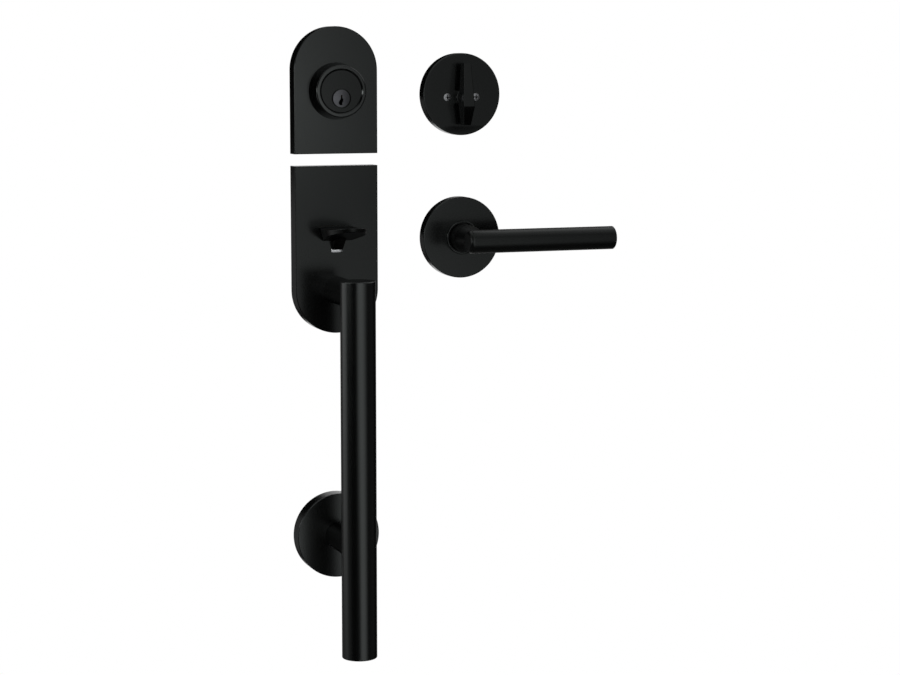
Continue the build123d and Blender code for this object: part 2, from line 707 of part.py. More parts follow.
spring_front = bracket_back - SPRING_STRIP
spring_contact = PIVOT_HEIGHT - 2 * HUB_RADIUS
spring_rest = TAIL_THICKNESS / 2 + FIXED_GAP
with BuildPart() as thumb_spring:
    with BuildSketch(face_plane(0, BRACKET_SCREW_TOP, spring_front)):
        Rectangle(SPRING_WIDTH, 2 * (BRACKET_TOP - BRACKET_SCREW_TOP))
    extrude(amount=SPRING_STRIP)
    strip_top = 2 * BRACKET_SCREW_TOP - BRACKET_TOP
    with BuildSketch(side_plane(0)):
        with BuildLine():
            Polyline(
                (bracket_back, strip_top + SPRING_STRIP),
                (spring_front, strip_top + SPRING_STRIP),
                (spring_contact, spring_rest + SPRING_STRIP),
                (spring_contact - SPRING_WIDTH, spring_rest + 2 * SPRING_STRIP),
                (spring_contact - SPRING_WIDTH, spring_rest + SPRING_STRIP),
                (spring_contact, spring_rest),
                (bracket_back, strip_top),
                close=True,
            )
        make_face()
    extrude(amount=SPRING_WIDTH / 2, both=True)
    with BuildSketch(face_plane(0, BRACKET_SCREW_TOP, spring_front)):
        Circle(BRACKET_SCREW_RADIUS + SCREW_GAP)
    extrude(amount=SPRING_STRIP, mode=Mode.SUBTRACT)

bracket_screw_head = 2 * BRACKET_SCREW_RADIUS
bracket_screw_seats = [(place, bracket_back) for place in side_screws] + [(top_screw, spring_front)]
with BuildPart() as bracket_screws:
    for place, seat in bracket_screw_seats:
        add(
            pan_screw(
                *place,
                seat,
                bracket_screw_head,
                bracket_screw_head / 2,
                BRACKET_SCREW_RADIUS,
                bracket_seat - seat,
                bracket_seat - seat + BRACKET_SCREW_GRIP,
                1,
            )
        )

# Handle, outside: pull bar and posts
cap_radius = BAR_RADIUS - BAR_WALL - FIXED_GAP
saddle_radius = BAR_RADIUS + FIXED_GAP
boss_top = PLATE_INSIDE - SCREW_GAP
bar_centre = (0, -BAR_STANDOFF)

with BuildPart() as pull_tube:
    with BuildSketch(Plane.XY.offset(BAR_BOTTOM)):
        with Locations(bar_centre):
            Circle(BAR_RADIUS)
    extrude(amount=BAR_LENGTH)
    fillet(pull_tube.edges().filter_by(GeomType.CIRCLE), EDGE_ROUND)
    with BuildSketch(Plane.XY.offset(BAR_BOTTOM)):
        with Locations(bar_centre):
            Circle(BAR_RADIUS - BAR_WALL)
    extrude(amount=BAR_LENGTH, mode=Mode.SUBTRACT)


def bar_cap(low):
    """Flat plug that closes one end of the bar, flush with the tube's rim"""
    with BuildPart() as cap:
        with BuildSketch(Plane.XY.offset(low)):
            with Locations(bar_centre):
                Circle(cap_radius)
        extrude(amount=BAR_CAP_DEPTH)
    return cap.part


def bar_post(z, foot):
    """Round post from its foot to the bar, coped to the bar's curve and tapped from the back"""
    with BuildPart() as post:
        with BuildSketch(face_plane(0, z, foot)):
            Circle(POST_RADIUS)
        extrude(amount=BAR_STANDOFF - foot)
        with BuildSketch(Plane.XY.offset(z - 2 * POST_RADIUS)):
            with Locations(bar_centre):
                Circle(saddle_radius)
        extrude(amount=4 * POST_RADIUS, mode=Mode.SUBTRACT)
        with BuildSketch(face_plane(0, z, foot)):
            Circle(POST_SCREW_RADIUS + FIXED_GAP)
        extrude(amount=POST_SCREW_GRIP + POST_SCREW_RADIUS, mode=Mode.SUBTRACT)
    return post.part


with BuildPart() as bar_cap_top:
    add(bar_cap(BAR_TOP - BAR_CAP_DEPTH))

with BuildPart() as bar_cap_bottom:
    add(bar_cap(BAR_BOTTOM))

with BuildPart() as upper_post:
    add(bar_post(UPPER_POST, PLATE_DEPTH))

with BuildPart() as lower_post:
    add(bar_post(LOWER_POST, boss_top))

with BuildPart() as upper_post_screw:
    add(
        pan_screw(
            0,
            UPPER_POST,
            PLATE_INSIDE,
            POST_SCREW_HEAD,
            POST_SCREW_HEAD / 2,
            POST_SCREW_RADIUS,
            PLATE_WALL,
            PLATE_WALL + POST_SCREW_GRIP,
            1,
        )
    )

with BuildPart() as lower_post_screw:
    add(
        flat_screw(
            0,
            LOWER_POST,
            0,
            POST_SCREW_HEAD,
            POST_SCREW_RADIUS,
            boss_top,
            boss_top + POST_SCREW_GRIP,
            EDGE_BREAK,
            1,
        )
    )

# Handle, outside: lower rosette
rosette_radius = PLATE_WIDTH / 2
base_radius = rosette_radius - PLATE_WALL - PASSING_GAP
set_screw_height = BASE_DISC_DEPTH / 2
base_screws = [(-BASE_SCREW_SPREAD, LOWER_POST), (BASE_SCREW_SPREAD, LOWER_POST)]
set_screw_plane = Plane(origin=(0, -set_screw_height, LOWER_POST), x_dir=(1, 0, 0), z_dir=(0, 0, -1))

with BuildPart() as bottom_rosette:
    add(round_shell(0, LOWER_POST, rosette_radius, PLATE_DEPTH, PLATE_WALL))
    with BuildSketch(face_plane(0, LOWER_POST)):
        Circle(POST_RADIUS + SCREW_GAP)
    extrude(amount=PLATE_DEPTH, mode=Mode.SUBTRACT)
    with BuildSketch(set_screw_plane):
        Circle(SET_SCREW_RADIUS + FIXED_GAP)
    extrude(amount=rosette_radius, mode=Mode.SUBTRACT)

with BuildPart() as rosette_base:
    add(ring(0, LOWER_POST, POST_SCREW_RADIUS + SCREW_GAP, base_radius, 0, BASE_DISC_DEPTH))
    add(ring(0, LOWER_POST, POST_SCREW_RADIUS + SCREW_GAP, BASE_BOSS_RADIUS, BASE_DISC_DEPTH, boss_top))
    sink_depth = POST_SCREW_HEAD - POST_SCREW_RADIUS
    add(
        turned(
            0,
            LOWER_POST,
            [
                (0, 0),
                (POST_SCREW_HEAD + SCREW_GAP, 0),
                (POST_SCREW_RADIUS + SCREW_GAP, sink_depth),
                (0, sink_depth),
            ],
        ),
        mode=Mode.SUBTRACT,
    )
    for x, z in base_screws:
        add(
            turned(
                x,
                z,
                [
                    (0, 0),
                    (WOOD_SCREW_RADIUS + SCREW_GAP, 0),
                    (WOOD_SCREW_RADIUS + SCREW_GAP, BASE_DISC_DEPTH - WOOD_SCREW_HEAD + WOOD_SCREW_RADIUS),
                    (WOOD_SCREW_HEAD + SCREW_GAP, BASE_DISC_DEPTH),
                    (0, BASE_DISC_DEPTH),
                ],
            ),
            mode=Mode.SUBTRACT,
        )

with BuildPart() as rosette_screws:
    for x, z in base_screws:
        add(
            flat_screw(
                x,
                z,
                BASE_DISC_DEPTH,
                WOOD_SCREW_HEAD,
                WOOD_SCREW_RADIUS,
                BASE_DISC_DEPTH + PASSING_GAP,
                WOOD_SCREW_LENGTH,
                WOOD_SCREW_POINT,
                -1,
            )
        )

with BuildPart() as rosette_set_screw:
    with BuildSketch(set_screw_plane.offset(base_radius + RUNNING_GAP)):
        Circle(SET_SCREW_RADIUS)
    extrude(amount=PLATE_WALL)
    with BuildSketch(set_screw_plane.offset(base_radius + RUNNING_GAP + PLATE_WALL - SOCKET_DEPTH)):
        RegularPolygon(SOCKET_RADIUS, 6)
    extrude(amount=SOCKET_DEPTH, mode=Mode.SUBTRACT)

# Thumbturn, inside
turn_bolts = [
    (INSIDE_OFFSET - DEADBOLT_BOLT_SPREAD, DEADBOLT_HEIGHT),
    (INSIDE_OFFSET + DEADBOLT_BOLT_SPREAD, DEADBOLT_HEIGHT),
]
turn_boss_back = ROSE_INSIDE - TURN_BOSS_DEPTH
washer_back = turn_boss_back - WASHER_THICKNESS
clip_back = washer_back - CLIP_THICKNESS
hub_top = ROSE_DEPTH + TURN_HUB_HEIGHT
bolt_neck_radius = DEADBOLT_BOLT_RADIUS - NECK_RELIEF
bolt_sink = DEADBOLT_BOLT_HEAD - bolt_neck_radius
bolt_hole_radius = DEADBOLT_BOLT_RADIUS + SCREW_GAP
bolt_post_radius = DEADBOLT_BOLT_HEAD + SCREW_GAP + RIB_THICKNESS / 2

with BuildPart() as turn_rose:
    add(round_shell(INSIDE_OFFSET, TURN_ROSE_CENTRE, ROSE_RADIUS, ROSE_DEPTH, ROSE_WALL))
    with BuildSketch(face_plane(INSIDE_OFFSET, DEADBOLT_HEIGHT, turn_boss_back)):
        Circle(TURN_BOSS_RADIUS)
    extrude(amount=TURN_BOSS_DEPTH)
    with BuildSketch(face_plane(0, 0, turn_boss_back)):
        with Locations(*turn_bolts):
            Circle(bolt_post_radius)
    extrude(amount=TURN_BOSS_DEPTH)
    with BuildSketch(face_plane(INSIDE_OFFSET, DEADBOLT_HEIGHT)):
        Circle(TURN_SHAFT_RADIUS + RUNNING_GAP)
    extrude(amount=ROSE_DEPTH, mode=Mode.SUBTRACT)
    for x, z in turn_bolts:
        add(
            turned(
                x,
                z,
                [
                    (0, 0),
                    (bolt_hole_radius, 0),
                    (bolt_hole_radius, ROSE_DEPTH - DEADBOLT_BOLT_HEAD + DEADBOLT_BOLT_RADIUS),
                    (DEADBOLT_BOLT_HEAD + SCREW_GAP, ROSE_DEPTH),
                    (0, ROSE_DEPTH),
                ],
            ),
            mode=Mode.SUBTRACT,
        )

turn_sections = [
    (DEADBOLT_HEIGHT - TURN_LOWER, TURN_END_WIDTH, TURN_END_DEPTH),
    (DEADBOLT_HEIGHT - TURN_RIDGE_DROP, TURN_RIDGE_WIDTH, TURN_RIDGE_DEPTH),
    (DEADBOLT_HEIGHT + TURN_UPPER, TURN_END_WIDTH, TURN_END_DEPTH),
]

with BuildPart() as thumbturn:
    add(
        turned(
            INSIDE_OFFSET,
            DEADBOLT_HEIGHT,
            [
                (0, clip_back - CLIP_THICKNESS),
                (TURN_SHAFT_RADIUS, clip_back - CLIP_THICKNESS),
                (TURN_SHAFT_RADIUS, clip_back - RUNNING_GAP),
                (TURN_SHAFT_RADIUS - CLIP_GROOVE, clip_back - RUNNING_GAP),
                (TURN_SHAFT_RADIUS - CLIP_GROOVE, washer_back),
                (TURN_SHAFT_RADIUS, washer_back),
                (TURN_SHAFT_RADIUS, ROSE_DEPTH + RUNNING_GAP),
                (TURN_HUB_RADIUS, ROSE_DEPTH + RUNNING_GAP),
                (TURN_HUB_RADIUS, hub_top),
                (0, hub_top),
            ],
        )
    )
    fillet(thumbturn.faces().sort_by(Axis.Y)[0].edges(), EDGE_ROUND)
    with BuildPart(mode=Mode.ADD) as paddle:
        for pair in (turn_sections[:2], turn_sections[1:]):
            for z, width, depth in pair:
                with BuildSketch(Plane.XY.offset(z)):
                    with Locations((INSIDE_OFFSET, -hub_top - depth / 2)):
                        Rectangle(width, depth)
            loft(ruled=True)
        ridge = paddle.edges().group_by(Axis.Y)[0]
        front_faces = paddle.faces().filter_by(lambda face: face.normal_at().Y < -0.5)
        long_edges = front_faces.edges().filter_by(lambda edge: edge.length > TURN_RIDGE_DEPTH)
        fillet(ridge + long_edges, TURN_EDGE)
    with BuildSketch(face_plane(INSIDE_OFFSET, DEADBOLT_HEIGHT, clip_back - CLIP_THICKNESS)):
        Rectangle(TAILPIECE_THICKNESS + 2 * PASSING_GAP, TAILPIECE_WIDTH + 2 * PASSING_GAP)
    extrude(amount=TURN_SLOT_DEPTH, mode=Mode.SUBTRACT)

with BuildPart() as turn_washer:
    washer_bore = TURN_SHAFT_RADIUS + SCREW_GAP
    add(
        ring(
            INSIDE_OFFSET,
            DEADBOLT_HEIGHT,
            washer_bore,
            washer_bore + WASHER_RIM,
            washer_back + RUNNING_GAP,
            turn_boss_back,
        )
    )

with BuildPart() as turn_clip:
    clip_bore = TURN_SHAFT_RADIUS - CLIP_GROOVE + FIXED_GAP
    add(
        open_ring(
            INSIDE_OFFSET,
            DEADBOLT_HEIGHT,
            clip_bore,
            clip_bore + CLIP_RIM,
            clip_back,
            CLIP_THICKNESS - RUNNING_GAP,
        )
    )

oval_break = (
    OVAL_BREAK_RADIUS * DEADBOLT_BOLT_HEAD,
    ROSE_DEPTH + OVAL_BREAK_HEIGHT * DEADBOLT_BOLT_DOME,
)
with BuildPart() as turn_screws:
    for x, z in turn_bolts:
        add(
            turned(
                x,
                z,
                [
                    (0, ROSE_DEPTH + DEADBOLT_BOLT_DOME),
                    oval_break,
                    (DEADBOLT_BOLT_HEAD, ROSE_DEPTH),
                    (bolt_neck_radius, ROSE_DEPTH - bolt_sink),
                    (bolt_neck_radius, -PASSING_GAP),
                    (DEADBOLT_BOLT_RADIUS, -PASSING_GAP),
                    (DEADBOLT_BOLT_RADIUS, -DEADBOLT_BOLT_REACH),
                    (0, -DEADBOLT_BOLT_REACH),
                ],
            )
        )
    cross_mouth = ROSE_DEPTH + DEADBOLT_BOLT_DOME
    for x, z in turn_bolts:
        for width, height in ((CROSS_LENGTH, CROSS_WIDTH), (CROSS_WIDTH, CROSS_LENGTH)):
            with BuildSketch(face_plane(x, z, cross_mouth)):
                Rectangle(width, height)
            with BuildSketch(face_plane(x, z, cross_mouth - CROSS_DEPTH)):
                Rectangle(CROSS_TIP, CROSS_TIP)
            loft(ruled=True, mode=Mode.SUBTRACT)

# Lever, inside: rose, chassis and bushing
bushing_bore = NECK_RADIUS + RUNNING_GAP
bushing_radius = bushing_bore + BUSHING_WALL
chassis_radius = ROSE_RADIUS - ROSE_WALL - FIXED_GAP
chassis_back = PASSING_GAP
chassis_front = chassis_back + CHASSIS_THICKNESS
neck_foot = chassis_front + RUNNING_GAP
cam_low = neck_foot + RUNNING_GAP
cam_high = cam_low + CAM_THICKNESS
cam_radius = NECK_RADIUS + FIXED_GAP + CAM_WALL
finger_end = cam_radius + FINGER_REACH
stop_foot = cam_radius + SCREW_GAP
stop_radius = stop_foot + FINGER_REACH / 2
# A stop stands so far round that its inner corner just clears the turned finger's flank.
corner_angle = math.atan2(STOP_WIDTH / 2, stop_foot)
flank_angle = math.asin((FINGER_WIDTH / 2 + STOP_GAP) / math.hypot(STOP_WIDTH / 2, stop_foot))
stop_angle = LEVER_SWING + math.degrees(corner_angle + flank_angle)
lever_bolts = [(INSIDE_OFFSET - HANDLE_BOLT_SPREAD, 0), (INSIDE_OFFSET + HANDLE_BOLT_SPREAD, 0)]

with BuildPart() as lever_rose:
    add(round_shell(INSIDE_OFFSET, 0, ROSE_RADIUS, ROSE_DEPTH, ROSE_WALL))
    with BuildSketch(face_plane(INSIDE_OFFSET, 0, ROSE_INSIDE)):
        Circle(RING_RADIUS)
    extrude(amount=ROSE_WALL + RING_HEIGHT)
    fillet(lever_rose.faces().sort_by(Axis.Y)[0].edges(), EDGE_ROUND)
    with BuildSketch(face_plane(INSIDE_OFFSET, 0)):
        Circle(bushing_radius + FIXED_GAP)
    extrude(amount=ROSE_DEPTH + RING_HEIGHT, mode=Mode.SUBTRACT)

with BuildPart() as lever_bushing:
    add(
        turned(
            INSIDE_OFFSET,
            0,
            [
                (bushing_bore, ROSE_INSIDE - BUSHING_FLANGE_DEPTH),
                (bushing_radius + BUSHING_FLANGE, ROSE_INSIDE - BUSHING_FLANGE_DEPTH),
                (bushing_radius + BUSHING_FLANGE, ROSE_INSIDE),
                (bushing_radius, ROSE_INSIDE),
                (bushing_radius, ROSE_DEPTH),
                (bushing_bore, ROSE_DEPTH),
            ],
        )
    )

with BuildPart() as lever_chassis:
    add(ring(INSIDE_OFFSET, 0, SHANK_RADIUS + RUNNING_GAP, chassis_radius, chassis_back, chassis_front))
    with BuildSketch(face_plane(INSIDE_OFFSET, 0, chassis_front)):
        for angle in (90 - stop_angle, 90 + stop_angle):
            with PolarLocations(stop_radius, 1, start_angle=angle):
                Rectangle(FINGER_REACH, STOP_WIDTH)
    extrude(amount=CAM_THICKNESS)
    with BuildSketch(face_plane(0, 0)):
        with Locations(*lever_bolts):
            Circle(HANDLE_BOLT_RADIUS + SCREW_GAP)
    extrude(amount=chassis_front, mode=Mode.SUBTRACT)

# Lever, inside: handle and what turns with it
shank_end = -SHANK_REACH
clip_low = chassis_back - RUNNING_GAP - CLIP_THICKNESS
lever_screw_plane = Plane(
    origin=(INSIDE_OFFSET, -LEVER_SET_SCREW_HEIGHT, 0),
    x_dir=(1, 0, 0),
    z_dir=(0, 0, -1),
)

with BuildPart() as lever_handle:
    with BuildSketch(Plane(origin=(INSIDE_OFFSET - LEVER_HEEL, -LEVER_STANDOFF, 0), z_dir=(1, 0, 0))):
        Circle(LEVER_RADIUS)
    extrude(amount=LEVER_LENGTH)
    fillet(lever_handle.faces().sort_by(Axis.X)[0].edges(), LEVER_HEEL_ROUND)
    chamfer(lever_handle.faces().sort_by(Axis.X)[-1].edges(), LEVER_TIP_BREAK)
    add(
        turned(
            INSIDE_OFFSET,
            0,
            [
                (0, shank_end),
                (SHANK_RADIUS, shank_end),
                (SHANK_RADIUS, clip_low - RUNNING_GAP),
                (SHANK_RADIUS - CLIP_GROOVE, clip_low - RUNNING_GAP),
                (SHANK_RADIUS - CLIP_GROOVE, chassis_back),
                (SHANK_RADIUS, chassis_back),
                (SHANK_RADIUS, neck_foot),
                (NECK_RADIUS, neck_foot),
                (NECK_RADIUS, NECK_STRAIGHT),
                (NECK_END_RADIUS, LEVER_STANDOFF - LEVER_RADIUS),
                (NECK_END_RADIUS, LEVER_STANDOFF),
                (0, LEVER_STANDOFF),
            ],
        )
    )
    with BuildSketch(face_plane(INSIDE_OFFSET, 0, shank_end)):
        Rectangle(SPINDLE_SIDE + 2 * FIXED_GAP, SPINDLE_SIDE + 2 * FIXED_GAP)
    extrude(amount=SPINDLE_GRIP - shank_end + FIXED_GAP, mode=Mode.SUBTRACT)
    with BuildSketch(lever_screw_plane):
        Circle(LEVER_SET_SCREW_RADIUS + FIXED_GAP)
    extrude(amount=NECK_RADIUS, mode=Mode.SUBTRACT)

with BuildPart() as lever_spindle:
    with BuildSketch(face_plane(INSIDE_OFFSET, 0, -SPINDLE_REACH)):
        Rectangle(SPINDLE_SIDE, SPINDLE_SIDE)
    extrude(amount=SPINDLE_REACH + SPINDLE_GRIP)

with BuildPart() as lever_set_screw:
    set_screw_foot = SPINDLE_SIDE / 2 + FIXED_GAP
    set_screw_length = NECK_RADIUS - set_screw_foot - EDGE_BREAK
    with BuildSketch(lever_screw_plane.offset(set_screw_foot)):
        Circle(LEVER_SET_SCREW_RADIUS)
    extrude(amount=set_screw_length)
    with BuildSketch(lever_screw_plane.offset(set_screw_foot + set_screw_length - SOCKET_DEPTH)):
        RegularPolygon(SOCKET_RADIUS, 6)
    extrude(amount=SOCKET_DEPTH, mode=Mode.SUBTRACT)

with BuildPart() as lever_cam:
    with BuildSketch(face_plane(INSIDE_OFFSET, 0, cam_low)):
        Circle(cam_radius)
        with Locations((0, finger_end / 2)):
            Rectangle(FINGER_WIDTH, finger_end)
        Circle(NECK_RADIUS + FIXED_GAP, mode=Mode.SUBTRACT)
    extrude(amount=CAM_THICKNESS)

with BuildPart() as lever_clip:
    lever_clip_bore = SHANK_RADIUS - CLIP_GROOVE + FIXED_GAP
    add(open_ring(INSIDE_OFFSET, 0, lever_clip_bore, lever_clip_bore + CLIP_RIM, clip_low, CLIP_THICKNESS))

with BuildPart() as lever_return_spring:
    leg_offset = FINGER_WIDTH / 2 + RUNNING_GAP + RETURN_SPRING_WIRE / 2
    leg_length = RETURN_SPRING_RADIUS + RETURN_SPRING_WIRE - cam_radius - PASSING_GAP
    with BuildSketch(face_plane(INSIDE_OFFSET, 0, chassis_front + RUNNING_GAP)):
        Circle(RETURN_SPRING_RADIUS + RETURN_SPRING_WIRE)
        Circle(RETURN_SPRING_RADIUS, mode=Mode.SUBTRACT)
        with Locations((0, RETURN_SPRING_RADIUS)):
            Rectangle(2 * leg_offset, RETURN_SPRING_RADIUS, mode=Mode.SUBTRACT)
        leg_middle = cam_radius + PASSING_GAP + leg_length / 2 - FIXED_GAP
        with Locations((-leg_offset, leg_middle), (leg_offset, leg_middle)):
            Rectangle(RETURN_SPRING_WIRE, leg_length - RETURN_SPRING_WIRE / 2)
    extrude(amount=RETURN_SPRING_WIRE)

with BuildPart() as lever_screws:
    for x, z in lever_bolts:
        add(
            pan_screw(
                x,
                z,
                chassis_front,
                HANDLE_BOLT_HEAD,
                HANDLE_BOLT_HEAD_HEIGHT,
                HANDLE_BOLT_RADIUS,
                chassis_front + PASSING_GAP,
                chassis_front + HANDLE_BOLT_REACH,
                -1,
            )
        )

pieces = {
    "deadbolt_plate": deadbolt_plate,
    "cylinder_collar": cylinder_collar,
    "lock_cylinder": lock_cylinder,
    "key_plug": key_plug,
    "key_pins": key_pins,
    "driver_pins": driver_pins,
    "pin_springs": pin_springs,
    "pin_cover": pin_cover,
    "plug_cap": plug_cap,
    "cylinder_tailpiece": cylinder_tailpiece,
    "handle_plate": handle_plate,
    "thumb_lever": thumb_lever,
    "pivot_bracket": pivot_bracket,
    "thumb_pivot_pin": thumb_pivot_pin,
    "thumb_spring": thumb_spring,
    "bracket_screws": bracket_screws,
    "pull_tube": pull_tube,
    "bar_cap_top": bar_cap_top,
    "bar_cap_bottom": bar_cap_bottom,
    "upper_post": upper_post,
    "lower_post": lower_post,
    "upper_post_screw": upper_post_screw,
    "lower_post_screw": lower_post_screw,
    "bottom_rosette": bottom_rosette,
    "rosette_base": rosette_base,
    "rosette_screws": rosette_screws,
    "rosette_set_screw": rosette_set_screw,
    "turn_rose": turn_rose,
    "thumbturn": thumbturn,
    "turn_washer": turn_washer,
    "turn_clip": turn_clip,
    "turn_screws": turn_screws,
    "lever_rose": lever_rose,
    "lever_bushing": lever_bushing,
    "lever_chassis": lever_chassis,
    "lever_handle": lever_handle,
    "lever_spindle": lever_spindle,
    "lever_set_screw": lever_set_screw,
    "lever_cam": lever_cam,
    "lever_clip": lever_clip,
    "lever_return_spring": lever_return_spring,
    "lever_screws": lever_screws,
}

os.makedirs("parts", exist_ok=True)
for name, piece in pieces.items():
    piece.part.label = name
    export_step(piece.part, f"parts/{name}.step")
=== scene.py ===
import math

import bpy
import numpy as np
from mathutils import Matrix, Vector


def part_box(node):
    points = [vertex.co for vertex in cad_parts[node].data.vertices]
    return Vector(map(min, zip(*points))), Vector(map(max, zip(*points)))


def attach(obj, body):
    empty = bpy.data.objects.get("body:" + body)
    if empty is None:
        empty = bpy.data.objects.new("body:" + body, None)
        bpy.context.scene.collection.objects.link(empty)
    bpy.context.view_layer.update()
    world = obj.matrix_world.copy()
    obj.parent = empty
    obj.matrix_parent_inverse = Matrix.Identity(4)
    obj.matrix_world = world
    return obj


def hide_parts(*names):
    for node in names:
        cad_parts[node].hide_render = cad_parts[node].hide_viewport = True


bl_info = {
    "name": "Door handleset",
    "version": (1, 0, 0),
    "blender": (4, 5, 0),
    "location": "View3D > Sidebar > Handleset",
    "description": "Dresses the packed door handleset: finishes, screw threads, pin springs and the studio",
    "category": "Object",
}

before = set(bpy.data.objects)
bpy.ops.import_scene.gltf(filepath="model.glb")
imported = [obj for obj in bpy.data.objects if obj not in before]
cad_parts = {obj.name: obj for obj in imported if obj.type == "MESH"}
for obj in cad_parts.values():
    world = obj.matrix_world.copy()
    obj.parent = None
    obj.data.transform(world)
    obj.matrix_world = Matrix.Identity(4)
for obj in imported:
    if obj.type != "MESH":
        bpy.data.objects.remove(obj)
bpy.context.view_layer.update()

MM = 0.001

# Width of the camera's sensor in millimetres, which the focal length goes with
SENSOR_WIDTH = 36

# Detail of the noise on grainy and on smooth surfaces
GRAINY = 3.0
SMOOTH = 2.0

# Satin black paint: width, height and strength of its orange peel, and width and gloss range of its patches
PEEL_WIDTH = 1.6 * MM
PEEL_HEIGHT = 0.05 * MM
PEEL_STRENGTH = 0.06
PATCH_WIDTH = 25 * MM
PATCH_GLOSS = 0.03

# Metals: how far the gloss and the tone differ from grain to grain
GRAIN_GLOSS = 0.06
GRAIN_TONE = 0.1

# Screw heads: grain, roughness, fall of the oval dome around its middle, bright skin over the recess, and how
# much of the steel's tone the recess keeps under its painted shade
SCREW_GRAIN = 0.5 * MM
SCREW_ROUGHNESS = 0.4
HEAD_SLOPE = 0.083
HEAD_SKIN = 0.05 * MM
RECESS_PAINTED_SHADE = 0.05

# Acetal: grain, roughness, gloss range and refractive index
ACETAL_GRAIN = 0.5 * MM
ACETAL_ROUGHNESS = 0.45
ACETAL_GLOSS = 0.05
ACETAL_IOR = 1.48

# Where the black paint lies, with its roughness, its specular level and the pieces that have it
PAINTS = {
    "cast plates": (0.2, 0.4, ("deadbolt_plate", "lever_rose")),
    "the turned collar": (0.14, 0.5, ("cylinder_collar",)),
    "the lock cylinder": (0.2, 0.25, ("lock_cylinder",)),
    "the handle plate": (0.2, 0.3, ("handle_plate",)),
    "the thumb lever": (0.34, 0.22, ("thumb_lever",)),
    "the thumbturn's rose": (0.2, 0.34, ("turn_rose",)),
    "the thumbturn": (0.16, 0.28, ("thumbturn",)),
    "the lever": (0.36, 0.32, ("lever_handle",)),
    "steel tube": (0.25, 0.54, ("pull_tube", "bar_cap_top", "bar_cap_bottom", "bottom_rosette")),
    "turned posts": (0.25, 0.22, ("upper_post", "lower_post")),
}

# The metals, with their colour setting, roughness and grain, and the pieces made of them
METALS = {
    # a grey disc, lighter than the paint around it
    "blackened brass, rubbed bright": ("plug", 0.34, 0.4 * MM, ("key_plug",)),
    # a pale, even grey, bright in the gap under the thumb lever
    "bright zinc plate on steel": (
        "zinc",
        0.34,
        0.7 * MM,
        (
            "cylinder_tailpiece",
            "pivot_bracket",
            "thumb_pivot_pin",
            "bracket_screws",
            "upper_post_screw",
            "lower_post_screw",
            "rosette_base",
            "rosette_screws",
            "rosette_set_screw",
            "turn_washer",
            "turn_clip",
            "lever_chassis",
            "lever_spindle",
            "lever_set_screw",
            "lever_cam",
            "lever_clip",
            "lever_screws",
        ),
    ),
    # a cool, darker grey
    "drawn spring steel": ("spring", 0.3, 0.3 * MM, ("thumb_spring", "lever_return_spring", "pin_springs")),
    # a warm yellow, seen in the keyway and at the back of the cylinder
    "machined brass": ("brass", 0.3, 0.4 * MM, ("key_pins", "driver_pins", "pin_cover", "plug_cap")),
}

# The screws that go into the door, with shank radius, length of the tapered point, kind of thread and slot
THREADED = {
    "turn_screw": (1.95 * MM, 0, "bolt", "bolt_steel"),
    "lever_screw": (2.4 * MM, 0, "bolt", "zinc_plate"),
    "rosette_screw": (2.2 * MM, 5 * MM, "wood", "zinc_plate"),
}

# How far behind the door's face a thread may start, before its first pitch
THREAD_START = 0.3 * MM

# A thread ridge in pitches: half its foot, half its crest, the run of its fade, and its stop before the tip
RIDGE_FOOT = 0.3
RIDGE_CREST = 0.08
RIDGE_FADE = 2
RIDGE_STOP = 0.2

# Share of a ridge sunk in the shank, share of it left at its faded ends, and share of a radius left at a tip
RIDGE_SUNK = 0.1
LEAST_RIDGE = 0.02
LEAST_RADIUS = 0.05

# Steps in a turn of a helix, pins in the cylinder, and sides of a round wire
HELIX_STEPS = 18
PIN_COUNT = 5
WIRE_SIDES = 8

# Edges that lie past every direction on the dome
OPEN_LOW = (-400, 1)
OPEN_HIGH = (400, 1)

# The dome's scrims: left, right, lower and upper edge, each as an angle and its softness in degrees, and the
# level. Azimuth 0 is in front of the set, and 90 is on its right.
DOME_SCRIMS = {
    "front, high": ((-25, 7), (20, 24), (12, 4), (42, 18), 1.2),
    "front, upper left": ((-25, 7), (12, 3), (3, 1), (9.5, 4), 2.4),
    "front, upper right": ((12, 3), (44, 20), (3, 1), (9.5, 4), 0.4),
    "front": ((-25, 7), (20, 24), (-13, 8), (1.5, 3.5), 1.2),
    "front, low": ((-13, 7), (24, 14), (-32, 7), (-13, 8), 1.15),
    "left": ((-134, 6), (-95, 8), (-18, 14), (2, 4), 0.95),
    "left, high": ((-110, 8), (-95, 8), (2, 4), (50, 16), 0.95),
    "left, low": ((-110, 10), (-72, 12), (-60, 8), (-16, 8), 0.2),
    "left, bright": ((-98, 5), (-62, 5), (5, 3), (16, 3), 4),
    "right": ((45, 15), (95, 15), (-40, 15), (30, 15), 0.07),
    "right, high": ((58, 10), (135, 10), (22, 6), (54, 8), 0.9),
    "back right": ((130, 5), (158, 4), (-48, 6), (14, 5), 0.12),
    "back": ((159, 3), (177, 3), (-48, 6), (14, 5), 1.0),
    "back left, low": ((-168, 4), (-142, 4), (-45, 5), (2.2, 0.8), 0.12),
    "overhead": (OPEN_LOW, OPEN_HIGH, (50, 16), OPEN_HIGH, 0.5),
    "underneath": (OPEN_LOW, OPEN_HIGH, OPEN_LOW, (-52, 10), 0.06),
    "back top, right half": ((100, 20), OPEN_HIGH, (47, 10), (80, 10), 0.6),
    "back top, left half": (OPEN_LOW, (-100, 20), (47, 10), (80, 10), 0.6),
}
DOME_DARK = 0.004

# The flag under the thumbturn's paddle: its reach to the left and right of the paddle's middle, its start
# behind and its end in front of the paddle's ridge, and how far it lies under the paddle's end
FLAG_LEFT = 6 * MM
FLAG_RIGHT = 26 * MM
FLAG_OVERLAP = 5 * MM
FLAG_REACH = 38 * MM
FLAG_DROP = 1.5 * MM


